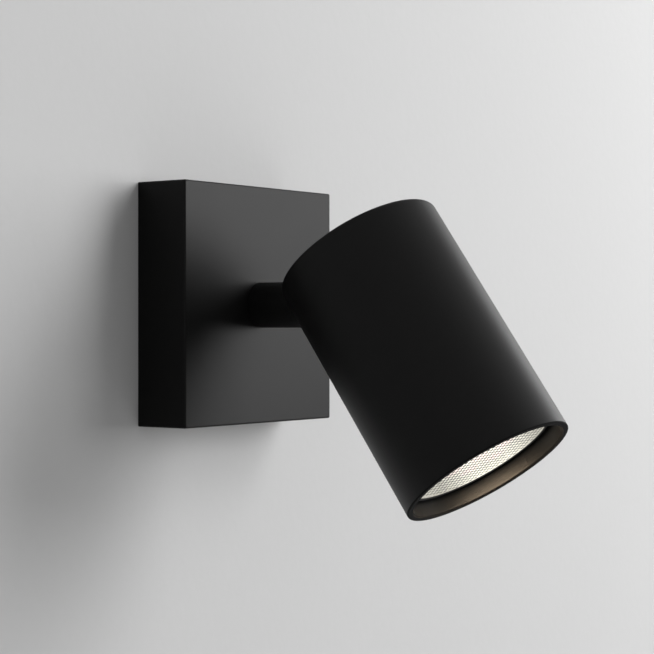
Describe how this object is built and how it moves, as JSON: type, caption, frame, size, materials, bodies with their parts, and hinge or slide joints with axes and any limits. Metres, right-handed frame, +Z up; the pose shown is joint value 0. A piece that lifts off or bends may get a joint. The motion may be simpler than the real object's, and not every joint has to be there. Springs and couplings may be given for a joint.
{
  "type": "spotlight wall light",
  "caption": "Wall spotlight with a square backplate, a round swivelling arm and a tilting cylindrical head with a recessed twist-lock lamp.",
  "frame": {"origin": "middle of the square backplate, on the wall", "axes": "+X to the right seen from the room, -Y out of the wall along the arm, +Z up"},
  "size_m": [0.08, 0.1319, 0.1086],
  "materials": {
    "black_coat": "fine matt powder coat",
    "zinc_steel": "zinc plated",
    "black_nylon": "moulded",
    "natural_nylon": "moulded",
    "white_plastic": "moulded",
    "brass": "plain",
    "tinned": "tinned",
    "brown_lead": "insulation",
    "blue_lead": "insulation",
    "earth_lead": "insulation, green with a yellow stripe",
    "silicone_sleeve": "woven look, coated",
    "black_rubber": "moulded",
    "cast_aluminium": "die cast",
    "steatite": "unglazed",
    "lamp_grey": "moulded",
    "board_white": "solder mask",
    "emitter": "phosphor",
    "lens": "prismatic"
  },
  "bodies": {
    "base": {"mounting_bracket": "zinc_steel", "cable_bush": "black_nylon", "backplate_cover": "black_coat", "cover_screws": "black_coat", "terminal_block": "white_plastic", "terminal_inserts": "brass", "terminal_screws": "zinc_steel", "terminal_block_screw": "zinc_steel", "base_earth_ring": "tinned", "earth_washer": "zinc_steel", "earth_screw": "zinc_steel", "base_live_lead": "brown_lead", "base_neutral_lead": "blue_lead", "base_earth_lead": "earth_lead", "stem_bush": "natural_nylon", "stop_pin": "zinc_steel"},
    "arm": {"swivel_stem": "black_coat", "stem_friction_washer": "black_nylon", "stop_washer": "zinc_steel", "wave_washer": "zinc_steel", "lock_nut": "zinc_steel", "arm_lead_sleeve": "silicone_sleeve"},
    "head": {"head_casing": "black_coat", "lamp_carrier": "cast_aluminium", "carrier_grommet": "black_rubber", "carrier_screws": "zinc_steel", "pivot_bolt": "zinc_steel", "pivot_washers": "natural_nylon", "pivot_spring_washer": "zinc_steel", "pivot_nut": "zinc_steel", "head_lead_sleeve": "silicone_sleeve", "head_live_lead": "brown_lead", "head_neutral_lead": "blue_lead", "head_earth_lead": "earth_lead", "head_earth_ring": "tinned", "lampholder": "steatite", "lampholder_contacts": "brass", "holder_screws": "zinc_steel", "lamp_pins": "brass", "lamp_base": "white_plastic", "lamp_shell": "lamp_grey", "led_board": "board_white", "led_emitters": "emitter", "lamp_lens": "lens"}
  },
  "joints": [
    {"name": "arm_swivel", "type": "hinge", "parent": "base", "child": "arm", "pos_m": [0, -0.02, 0], "axis": [0, -1, 0], "range_deg": [-170, 170]},
    {"name": "head_tilt", "type": "hinge", "parent": "arm", "child": "head", "pos_m": [0, -0.072, 0], "axis": [1, 0, 0], "range_deg": [-55, 35]}
  ]
}
